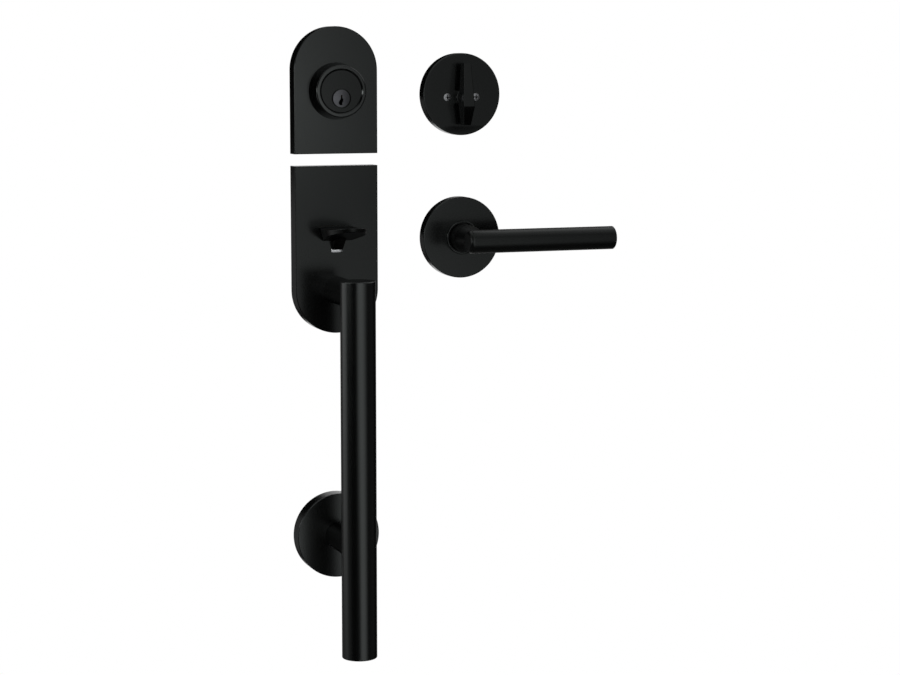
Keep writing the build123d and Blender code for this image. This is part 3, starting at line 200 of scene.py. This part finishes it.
def linear(colour):
    """Linear red, green and blue of an sRGB hex colour such as #0b0b0c"""
    parts = [int(colour[i : i + 2], 16) / 255 for i in (1, 3, 5)]
    return tuple(c / 12.92 if c <= 0.04045 else ((c + 0.055) / 1.055) ** 2.4 for c in parts)


def colour_property(name, description, colour):
    """Colour setting with an sRGB hex default"""
    return bpy.props.FloatVectorProperty(
        name=name, description=description, subtype="COLOR", size=3, min=0, max=1, default=linear(colour)
    )


def length_property(name, description, millimetres):
    """Length setting with a default in millimetres"""
    return bpy.props.FloatProperty(
        name=name, description=description, unit="LENGTH", min=0, default=millimetres * MM, precision=5
    )


class HandlesetSizes(bpy.types.PropertyGroup):
    """Sizes of the pieces that are added to the solids, and of the screws' recesses, which are drawn in
    painted shade
    """

    bolt_pitch: length_property("Bolt pitch", "Thread spacing of the bolts that go through the door", 0.9)
    bolt_ridge: length_property("Bolt ridge", "How far the bolt thread stands off", 0.28)
    wood_pitch: length_property("Wood screw pitch", "Thread spacing of the wood screws", 2.1)
    wood_ridge: length_property("Wood screw ridge", "How far the wood screw thread stands off", 0.65)
    # The recess is dark only through painted shade in the screw heads' material
    recess: length_property("Recess", "Width of the dark drive recess in a screw head", 3.9)
    spring_wire: length_property("Pin spring wire", "Wire thickness of the pin springs", 0.3)
    spring_pitch: length_property("Pin spring pitch", "Distance between the coils of a pin spring", 0.82)


class HandlesetColours(bpy.types.PropertyGroup):
    """Colours of the finishes"""

    paint: colour_property("Paint", "Satin black paint", "#030303")
    sheen: colour_property("Sheen", "Tint of the black paint's reflections", "#f7fffd")
    plug: colour_property("Plug", "Blackened brass of the key plug", "#4a4b4e")
    zinc: colour_property("Zinc", "Bright zinc plate", "#d3d6d8")
    bolt: colour_property("Bolt", "Plain plated screw heads", "#8c8e90")
    spring: colour_property("Spring", "Drawn spring steel", "#8b8d92")
    brass: colour_property("Brass", "Machined brass", "#cba45a")
    acetal: colour_property("Acetal", "Moulded black acetal", "#141416")
    floor: colour_property("Floor", "Pale studio floor", "#e6e6e6")


class HandlesetStudio(bpy.types.PropertyGroup):
    """Camera and studio settings"""

    azimuth: bpy.props.FloatProperty(
        name="Azimuth",
        description="Camera angle round the set, to the left of straight ahead",
        subtype="ANGLE",
        default=math.radians(20.31),
    )
    elevation: bpy.props.FloatProperty(
        name="Elevation",
        description="Camera angle above the set",
        subtype="ANGLE",
        default=math.radians(7.22),
    )
    distance: length_property("Distance", "Camera distance from the middle of the set", 1883.8)
    lens: bpy.props.FloatProperty(name="Lens", description="Focal length in millimetres", default=89.76)
    target: bpy.props.FloatVectorProperty(
        name="Target",
        description="Point that the camera looks at",
        subtype="XYZ",
        size=3,
        default=(102.9 * MM, 0, -84.8 * MM),
    )
    floor_drop: length_property("Floor drop", "How far the floor lies under the latch axis", 1000)
    floor_size: length_property("Floor size", "Side of the square floor", 1900)
    dome_radius: length_property("Dome radius", "Radius of the dome of flags and scrims", 1500)


def add_node(tree, kind, inputs=None, **settings):
    """Adds one shader node, sets its attributes, and sets or links its inputs by name or number"""
    node = tree.nodes.new(kind)
    for key, value in settings.items():
        setattr(node, key, value)
    for key, value in (inputs or {}).items():
        if isinstance(value, bpy.types.NodeSocket):
            tree.links.new(value, node.inputs[key])
        else:
            node.inputs[key].default_value = value
    return node


def new_material(name):
    """Empty node material and its tree"""
    material = bpy.data.materials.new(name)
    material.use_nodes = True
    material.node_tree.nodes.clear()
    return material, material.node_tree


def close_material(tree, shader):
    """Links the last shader to the material's output"""
    add_node(tree, "ShaderNodeOutputMaterial", {"Surface": shader})


def mottle(tree, place, width, detail, roughness, spread):
    """Noise about width metres across, and a roughness that it carries up and down by the spread"""
    noise = add_node(tree, "ShaderNodeTexNoise", {"Vector": place, "Scale": 1 / width, "Detail": detail})
    gloss = add_node(
        tree,
        "ShaderNodeMapRange",
        {"Value": noise.outputs["Fac"], "To Min": roughness - spread, "To Max": roughness + spread},
    )
    return noise.outputs["Fac"], gloss.outputs["Result"]


def satin_black(name, colours, roughness, specular):
    """Sprayed satin black paint on die-cast zinc or steel tube.

    The eye gets a deep black that shows only soft reflections, with a faint orange peel in them and a gloss
    that drifts a little from patch to patch.
    """
    material, tree = new_material(name)
    place = add_node(tree, "ShaderNodeTexCoord").outputs["Object"]
    peel = add_node(tree, "ShaderNodeTexNoise", {"Vector": place, "Scale": 1 / PEEL_WIDTH, "Detail": SMOOTH})
    bump = add_node(
        tree,
        "ShaderNodeBump",
        {"Height": peel.outputs["Fac"], "Strength": PEEL_STRENGTH, "Distance": PEEL_HEIGHT},
    )
    _, gloss = mottle(tree, place, PATCH_WIDTH, GRAINY, roughness, PATCH_GLOSS)
    paint = add_node(
        tree,
        "ShaderNodeBsdfPrincipled",
        {
            "Base Color": (*colours.paint, 1),
            "Roughness": gloss,
            "Specular IOR Level": specular,
            "Specular Tint": (*colours.sheen, 1),
            "Normal": bump.outputs["Normal"],
        },
    )
    close_material(tree, paint.outputs["BSDF"])
    return material


def plain_metal(name, colour, roughness, grain):
    """Metal with an even, fine grain: plated, drawn or machined.

    The eye gets a metal whose gloss and tone change from grain to grain, grain metres across.
    """
    material, tree = new_material(name)
    place = add_node(tree, "ShaderNodeTexCoord").outputs["Object"]
    noise, gloss = mottle(tree, place, grain, GRAINY, roughness, GRAIN_GLOSS)
    dark, bright = ([min(1, share * c) for c in colour] for share in (1 - GRAIN_TONE, 1 + GRAIN_TONE))
    tone = add_node(
        tree, "ShaderNodeMix", {"Factor": noise, "A": (*dark, 1), "B": (*bright, 1)}, data_type="RGBA"
    )
    metal = add_node(
        tree,
        "ShaderNodeBsdfPrincipled",
        {"Base Color": tone.outputs["Result"], "Metallic": 1.0, "Roughness": gloss},
    )
    close_material(tree, metal.outputs["BSDF"])
    return material


def screw_steel(name, colour, low, high, recess):
    """Plated steel of a level pair of screws, with painted shade darkening their drive recesses.

    The eye gets bright worn heads with a painted-shade cross in each. The painted shade is nearer to a
    screw's axis than half the recess's width, and deeper than the head's dome, which falls away from its top
    at an even slope.
    """
    material, tree = new_material(name)
    place = add_node(tree, "ShaderNodeTexCoord").outputs["Object"]
    _, gloss = mottle(tree, place, SCREW_GRAIN, GRAINY, SCREW_ROUGHNESS, GRAIN_GLOSS)
    reach = (high.x - low.x - high.z + low.z) / 2
    folded = place
    for operation, vector in (
        ("SUBTRACT", (low + high) / 2),
        ("ABSOLUTE", (0, 0, 0)),
        ("SUBTRACT", (reach, 0, 0)),
        ("MULTIPLY", (1, 0, 1)),
    ):
        inputs = {0: folded, 1: vector}
        folded = add_node(tree, "ShaderNodeVectorMath", inputs, operation=operation).outputs["Vector"]
    off_axis = add_node(tree, "ShaderNodeVectorMath", {0: folded}, operation="LENGTH").outputs["Value"]
    near = add_node(tree, "ShaderNodeMath", {0: off_axis, 1: recess / 2}, operation="LESS_THAN")
    depth = add_node(tree, "ShaderNodeSeparateXYZ", {"Vector": place}).outputs["Y"]
    dome = add_node(
        tree, "ShaderNodeMath", {0: off_axis, 1: HEAD_SLOPE, 2: low.y + HEAD_SKIN}, operation="MULTIPLY_ADD"
    )
    deep = add_node(tree, "ShaderNodeMath", {0: depth, 1: dome.outputs["Value"]}, operation="GREATER_THAN")
    inside = add_node(
        tree, "ShaderNodeMath", {0: near.outputs["Value"], 1: deep.outputs["Value"]}, operation="MULTIPLY"
    )
    # Painted shade: the drive recess keeps a twentieth of the steel's tone
    dark = [RECESS_PAINTED_SHADE * c for c in colour]
    tone = add_node(
        tree,
        "ShaderNodeMix",
        {"Factor": inside.outputs["Value"], "A": (*colour, 1), "B": (*dark, 1)},
        data_type="RGBA",
    )
    metal = add_node(
        tree,
        "ShaderNodeBsdfPrincipled",
        {"Base Color": tone.outputs["Result"], "Metallic": 1.0, "Roughness": gloss},
    )
    close_material(tree, metal.outputs["BSDF"])
    return material


def moulded_plastic(name, colour):
    """Moulded acetal: the eye gets a waxy black with a wide, soft shine"""
    material, tree = new_material(name)
    place = add_node(tree, "ShaderNodeTexCoord").outputs["Object"]
    _, gloss = mottle(tree, place, ACETAL_GRAIN, SMOOTH, ACETAL_ROUGHNESS, ACETAL_GLOSS)
    plastic = add_node(
        tree, "ShaderNodeBsdfPrincipled", {"Base Color": (*colour, 1), "Roughness": gloss, "IOR": ACETAL_IOR}
    )
    close_material(tree, plastic.outputs["BSDF"])
    return material


def dress(material, *nodes):
    """Gives CAD nodes a finish"""
    for name in nodes:
        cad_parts[name].data.materials.clear()
        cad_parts[name].data.materials.append(material)


def new_piece(name, points, faces, material):
    """Mesh object at the origin from arrays of points and quads, turned so that its faces point outwards"""
    corners = points[faces]
    middle = corners.mean(1)
    normal = np.cross(corners[:, 2] - corners[:, 0], corners[:, 3] - corners[:, 1])
    if np.einsum("ij,ij->", middle - points.mean(0), normal) < 0:
        faces = faces[:, ::-1]
    mesh = bpy.data.meshes.new(name)
    mesh.from_pydata(points.tolist(), [], faces.tolist())
    mesh.update()
    mesh.materials.append(material)
    piece = bpy.data.objects.new(name, mesh)
    bpy.context.scene.collection.objects.link(piece)
    return piece


def swept_helix(turns, radius, rise, profile_out, profile_up):
    """Closed profile carried along a helix about the third axis.

    At share t of the way the path is at angle 2 pi turns t, and the profile's points stand at
    radius(t) + profile_out(t) outwards and rise(t) + profile_up(t) along the axis. Quads close the two ends.
    """
    t = np.linspace(0, 1, int(turns * HELIX_STEPS) + 1)
    angle = 2 * math.pi * turns * t
    out = radius(t)[:, None] + profile_out(t)
    up = rise(t)[:, None] + profile_up(t)
    points = np.stack([out * np.cos(angle)[:, None], out * np.sin(angle)[:, None], up], -1)
    rows, columns = out.shape
    number = np.arange(rows * columns).reshape(rows, columns)
    after = np.roll(number, -1, 1)
    sides = np.stack([number[:-1], after[:-1], after[1:], number[1:]], -1).reshape(-1, 4)
    ends = [closing_quads(number[0]), closing_quads(number[-1][::-1])]
    return points.reshape(-1, 3), np.concatenate([sides, *ends])


def closing_quads(loop):
    """Quads that close a loop of an even number of points"""
    pairs = range(1, len(loop) // 2)
    return np.array([[loop[i - 1], loop[i], loop[-1 - i], loop[-i]] for i in pairs])


def thread(radius, pitch, ridge, start, end, point):
    """Thread ridge on a shank along Y: a trapezium that winds from start to end and fades at its ends.

    Over the last point metres the shank's radius falls to almost nothing, as on a wood screw.
    """

    def shank(t):
        left = (1 - t) * (end - start)
        return radius * np.clip(left / point, LEAST_RADIUS, 1) if point else np.full_like(t, radius)

    def fade(t):
        return np.clip(np.minimum(t, 1 - t) * (end - start) / (RIDGE_FADE * pitch), LEAST_RIDGE, 1)

    def out(t):
        return fade(t)[:, None] * np.array([-RIDGE_SUNK, 1, 1, -RIDGE_SUNK]) * ridge

    def along(t):
        profile = np.array([-RIDGE_FOOT, -RIDGE_CREST, RIDGE_CREST, RIDGE_FOOT])
        return np.ones_like(t)[:, None] * profile * pitch

    local, faces = swept_helix((end - start) / pitch, shank, lambda t: start + (end - start) * t, out, along)
    return local[:, [0, 2, 1]], faces


def join(parts):
    """One array of points and one of faces from several"""
    starts = np.cumsum([0] + [len(points) for points, _ in parts[:-1]])
    return (
        np.concatenate([points for points, _ in parts]),
        np.concatenate([faces + start for (_, faces), start in zip(parts, starts)]),
    )


def edge(value, place, soft):
    """0 below an edge, 1 above it and a smooth rise over its softness to either side"""
    share = np.clip((value - place + soft) / (2 * soft), 0, 1)
    return share * share * (3 - 2 * share)


class HANDLESET_OT_finishes(bpy.types.Operator):
    """Gives every solid of the set its finish"""

    bl_idname = "handleset.finishes"
    bl_label = "Finishes"

    def execute(self, context):
        colours = context.scene.handleset_colours
        recess = context.scene.handleset_sizes.recess
        for place, (roughness, specular, nodes) in PAINTS.items():
            dress(satin_black("satin black paint on " + place, colours, roughness, specular), *nodes)
        for name, (colour, roughness, grain, nodes) in METALS.items():
            dress(plain_metal(name, getattr(colours, colour), roughness, grain), *nodes)
        # The screw heads' material paints shade into their drive recesses
        heads = screw_steel("plated screw steel", colours.bolt, *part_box("turn_screws"), recess)
        dress(heads, "turn_screws")
        dress(moulded_plastic("moulded black acetal", colours.acetal), "lever_bushing")
        return {"FINISHED"}


class HANDLESET_OT_threads(bpy.types.Operator):
    """Puts the thread ridges on the bolts and wood screws that go into the door"""

    bl_idname = "handleset.threads"
    bl_label = "Screw threads"

    def execute(self, context):
        sizes = context.scene.handleset_sizes
        for name, (radius, point, kind, slot) in THREADED.items():
            pitch = getattr(sizes, kind + "_pitch")
            ridge = getattr(sizes, kind + "_ridge")
            low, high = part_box(name + "s")
            start, end = THREAD_START + pitch, high.y - RIDGE_STOP * pitch
            points, faces = thread(radius - RIDGE_SUNK * ridge, pitch, ridge, start, end, point)
            head = (high.z - low.z) / 2
            middle = (low.z + high.z) / 2
            pair = [(points + (x, 0, middle), faces) for x in (low.x + head, high.x - head)]
            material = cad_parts[name + "s"].data.materials[0]
            piece = new_piece(name + "_threads", *join(pair), material)
            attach(piece, "trim")
        return {"FINISHED"}


class HANDLESET_OT_pin_springs(bpy.types.Operator):
    """Makes the coiled springs over the driver pins, in place of their plain sleeves"""

    bl_idname = "handleset.pin_springs"
    bl_label = "Pin springs"

    def execute(self, context):
        sizes = context.scene.handleset_sizes
        low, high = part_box("pin_springs")
        sleeve = (high.x - low.x) / 2
        wire = sizes.spring_wire / 2
        ring = np.linspace(0, 2 * math.pi, WIRE_SIDES, endpoint=False)
        height = high.z - low.z - 2 * wire
        points, faces = swept_helix(
            height / sizes.spring_pitch,
            lambda t: np.full_like(t, sleeve - wire),
            lambda t: low.z + wire + height * t,
            lambda t: np.ones_like(t)[:, None] * np.cos(ring) * wire,
            lambda t: np.ones_like(t)[:, None] * np.sin(ring) * wire,
        )
        depths = np.linspace(low.y + sleeve, high.y - sleeve, PIN_COUNT)
        coils = [(points + ((low.x + high.x) / 2, depth, 0), faces) for depth in depths]
        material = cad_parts["pin_springs"].data.materials[0]
        piece = new_piece("pin_spring_coils", *join(coils), material)
        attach(piece, "trim")
        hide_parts("pin_springs")
        return {"FINISHED"}


class HANDLESET_OT_stage(bpy.types.Operator):
    """Sets up the camera, the white room, the pale floor and the flags that black hardware is shot with"""

    bl_idname = "handleset.stage"
    bl_label = "Stage"

    def execute(self, context):
        scene = context.scene
        studio = scene.handleset_studio
        scene.view_settings.view_transform = "Standard"
        self.camera(scene, studio)
        self.white_room(scene)
        self.floor(scene, studio)
        self.dome(scene, studio)
        self.paddle_flag(scene, studio)
        return {"FINISHED"}

    def camera(self, scene, studio):
        """Camera on the photo's line of sight"""
        data = bpy.data.cameras.new("camera")
        data.lens = studio.lens
        data.sensor_width = SENSOR_WIDTH
        data.sensor_fit = "HORIZONTAL"
        camera = bpy.data.objects.new("camera", data)
        back = Vector(
            (
                -math.sin(studio.azimuth) * math.cos(studio.elevation),
                -math.cos(studio.azimuth) * math.cos(studio.elevation),
                math.sin(studio.elevation),
            )
        )
        camera.location = Vector(studio.target) + back * studio.distance
        camera.rotation_euler = (-back).to_track_quat("-Z", "Y").to_euler()
        scene.collection.objects.link(camera)
        scene.camera = camera

    def white_room(self, scene):
        """White surroundings at strength 1 for every ray, so that colours render as they are written"""
        world = bpy.data.worlds.new("white room")
        world.use_nodes = True
        world.node_tree.nodes.clear()
        light = add_node(world.node_tree, "ShaderNodeBackground", {"Color": (1, 1, 1, 1), "Strength": 1.0})
        add_node(world.node_tree, "ShaderNodeOutputWorld", {"Surface": light.outputs["Background"]})
        scene.world = world

    def floor(self, scene, studio):
        """Pale floor, as far down as under a door, and hidden from reflections"""
        half = studio.floor_size / 2
        corners = np.array([(-1, -1), (1, -1), (1, 1), (-1, 1)]) * half + np.array(studio.target[:2])
        points = [(x, y, -studio.floor_drop) for x, y in corners.tolist()]
        mesh = bpy.data.meshes.new("floor")
        mesh.from_pydata(points, [], [(0, 1, 2, 3)])
        material, tree = new_material("pale matt floor")
        matt = add_node(
            tree,
            "ShaderNodeBsdfPrincipled",
            {"Base Color": (*scene.handleset_colours.floor, 1), "Roughness": 0.9, "Specular IOR Level": 0.1},
        )
        close_material(tree, matt.outputs["BSDF"])
        mesh.materials.append(material)
        floor = bpy.data.objects.new("floor", mesh)
        floor.visible_glossy = False
        scene.collection.objects.link(floor)

    def dome(self, scene, studio):
        """Dome of black flags with soft openings, which only reflections see, with a point at every degree.

        Its level at an azimuth and elevation is the dark level plus each scrim's level inside its edges.
        """
        azimuth, elevation = np.meshgrid(np.linspace(-180, 180, 361), np.linspace(-90, 90, 181))
        level = np.full_like(azimuth, DOME_DARK)
        for left, right, lower, upper, strength in DOME_SCRIMS.values():
            across = edge(azimuth, *left) * (1 - edge(azimuth, *right))
            upward = edge(elevation, *lower) * (1 - edge(elevation, *upper))
            level += strength * across * upward
        turn, rise = np.radians(azimuth), np.radians(elevation)
        points = np.stack([np.sin(turn) * np.cos(rise), -np.cos(turn) * np.cos(rise), np.sin(rise)], -1)
        points = points.reshape(-1, 3) * studio.dome_radius + np.array(studio.target)
        number = np.arange(azimuth.size).reshape(azimuth.shape)
        faces = np.stack([number[:-1, :-1], number[1:, :-1], number[1:, 1:], number[:-1, 1:]], -1)
        mesh = bpy.data.meshes.new("flag_dome")
        mesh.from_pydata(points.tolist(), [], faces.reshape(-1, 4).tolist())
        levels = mesh.attributes.new("level", "FLOAT", "POINT")
        levels.data.foreach_set("value", level.ravel().astype(np.float32))
        material, tree = new_material("flags and scrims")
        level_node = add_node(tree, "ShaderNodeAttribute", attribute_name="level")
        glow = add_node(tree, "ShaderNodeEmission", {"Strength": level_node.outputs["Fac"]})
        close_material(tree, glow.outputs["Emission"])
        mesh.materials.append(material)
        self.show_to_reflections(scene, bpy.data.objects.new("flag_dome", mesh))

    def paddle_flag(self, scene, studio):
        """Black card just under the thumbturn's paddle, which keeps the low light off its lower facet.

        It falls away from the rose as steeply as the camera's rays do once the rose has turned them back, so
        the rose sees only its edge.
        """
        low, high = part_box("thumbturn")
        middle = (low.x + high.x) / 2
        fall = math.tan(studio.elevation) / math.cos(studio.azimuth)
        sides = (middle - FLAG_LEFT, middle + FLAG_RIGHT)
        near, far = low.y + FLAG_OVERLAP, low.y - FLAG_REACH
        height = low.z - FLAG_DROP
        points = [(x, y, height - fall * (near - y)) for y in (near, far) for x in sides]
        mesh = bpy.data.meshes.new("paddle_flag")
        mesh.from_pydata(points, [], [(0, 1, 3, 2)])
        material, tree = new_material("black flag")
        close_material(tree, add_node(tree, "ShaderNodeEmission", {"Strength": 0.0}).outputs["Emission"])
        mesh.materials.append(material)
        self.show_to_reflections(scene, bpy.data.objects.new("paddle_flag", mesh))

    def show_to_reflections(self, scene, thing):
        """Puts a thing on the stage that only reflections see"""
        for ray in ("camera", "diffuse", "transmission", "volume_scatter", "shadow"):
            setattr(thing, "visible_" + ray, False)
        scene.collection.objects.link(thing)


class HANDLESET_PT_panel(bpy.types.Panel):
    """Lists the steps and settings in the sidebar"""

    bl_idname = "HANDLESET_PT_panel"
    bl_label = "Door handleset"
    bl_space_type = "VIEW_3D"
    bl_region_type = "UI"
    bl_category = "Handleset"

    def draw(self, context):
        for operator in OPERATORS:
            self.layout.operator(operator.bl_idname)
        for group in GROUPS:
            settings = getattr(context.scene, group)
            for name in settings.bl_rna.properties.keys():
                if name not in ("rna_type", "name"):
                    self.layout.prop(settings, name)


OPERATORS = (HANDLESET_OT_finishes, HANDLESET_OT_threads, HANDLESET_OT_pin_springs, HANDLESET_OT_stage)
GROUPS = {
    "handleset_sizes": HandlesetSizes,
    "handleset_colours": HandlesetColours,
    "handleset_studio": HandlesetStudio,
}
CLASSES = (*GROUPS.values(), *OPERATORS, HANDLESET_PT_panel)


def register():
    """Registers the classes and hangs the settings on the scene"""
    for cls in CLASSES:
        bpy.utils.register_class(cls)
    for name, group in GROUPS.items():
        setattr(bpy.types.Scene, name, bpy.props.PointerProperty(type=group))


def unregister():
    """Takes the settings and classes away again"""
    for name in GROUPS:
        delattr(bpy.types.Scene, name)
    for cls in reversed(CLASSES):
        bpy.utils.unregister_class(cls)


def main():
    """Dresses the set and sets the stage"""
    register()
    bpy.ops.handleset.finishes()
    bpy.ops.handleset.threads()
    bpy.ops.handleset.pin_springs()
    bpy.ops.handleset.stage()


if __name__ == "__main__":
    main()
